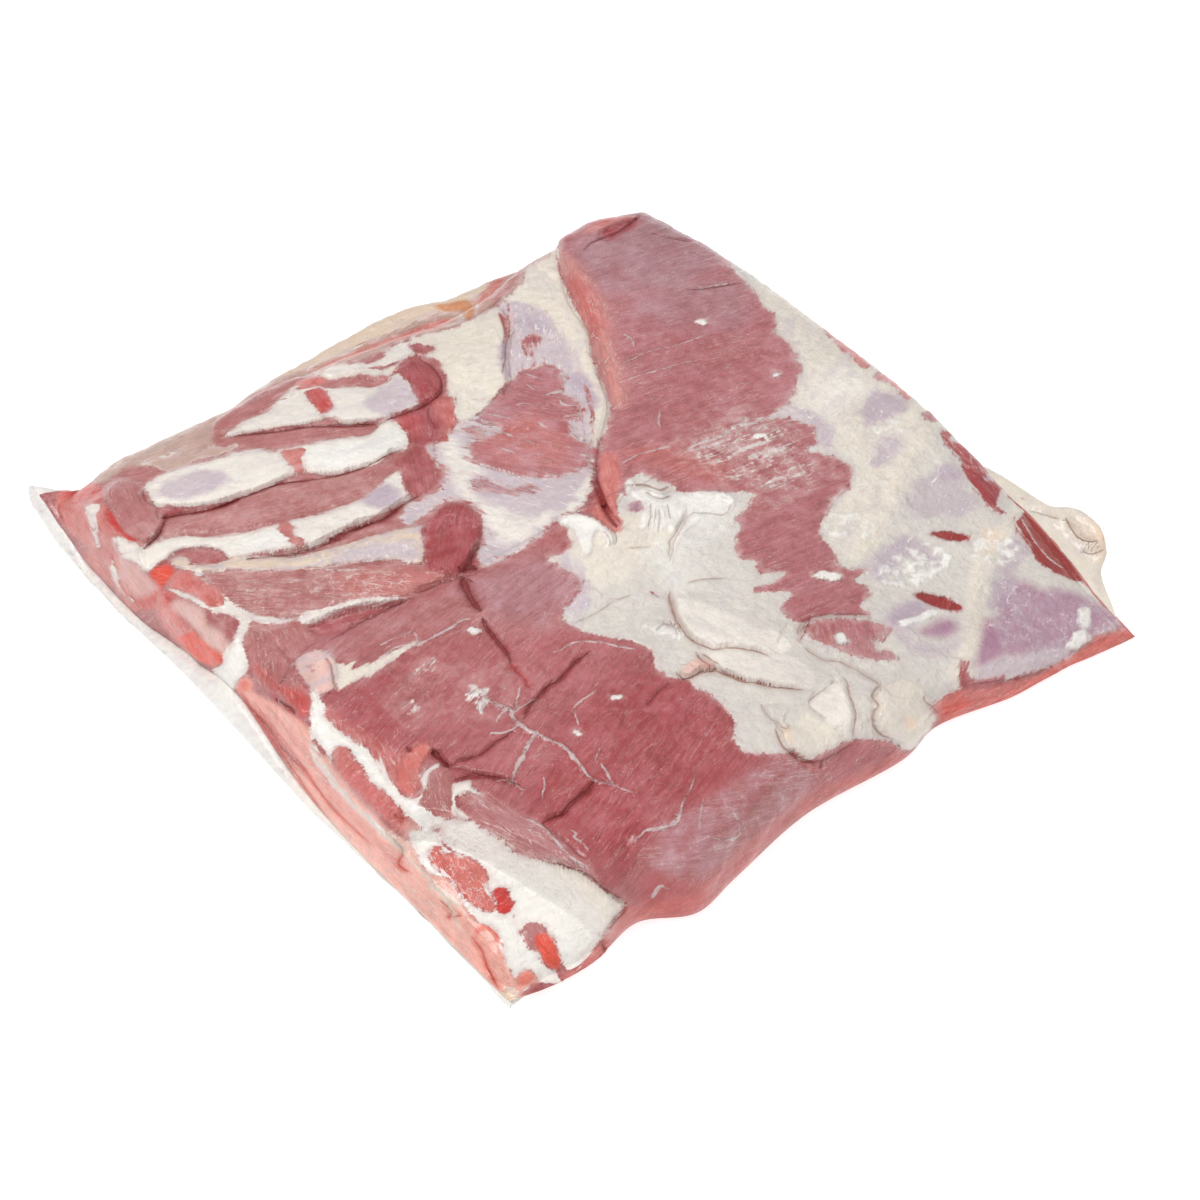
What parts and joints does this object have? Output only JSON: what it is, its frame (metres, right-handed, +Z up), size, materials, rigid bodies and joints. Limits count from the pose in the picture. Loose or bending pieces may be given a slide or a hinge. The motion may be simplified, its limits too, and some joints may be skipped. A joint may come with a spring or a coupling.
{
  "type": "pork belly slab",
  "caption": "Raw boned pork belly slab, cut square and lying on its rind, with rib channels, muscle lobes and patches of white fat on its upper side.",
  "frame": {"origin": "under the middle of the slab's box, on the surface it lies on", "axes": "+Z up out of the meat side; +X from the cut left side to the right edge with the curled rind flap; +Y from the rolled front edge to the back edge beside the rib channels"},
  "size_m": [0.3654, 0.3764, 0.043],
  "materials": {
    "lean": "moist raw lean meat, half gloss, with streaks and patches of pale fat",
    "back_fat": "firm cream-white fat and rind, slightly moist, low gloss"
  },
  "bodies": {
    "root": {"lean": "lean", "back_fat": "back_fat"}
  },
  "joints": []
}
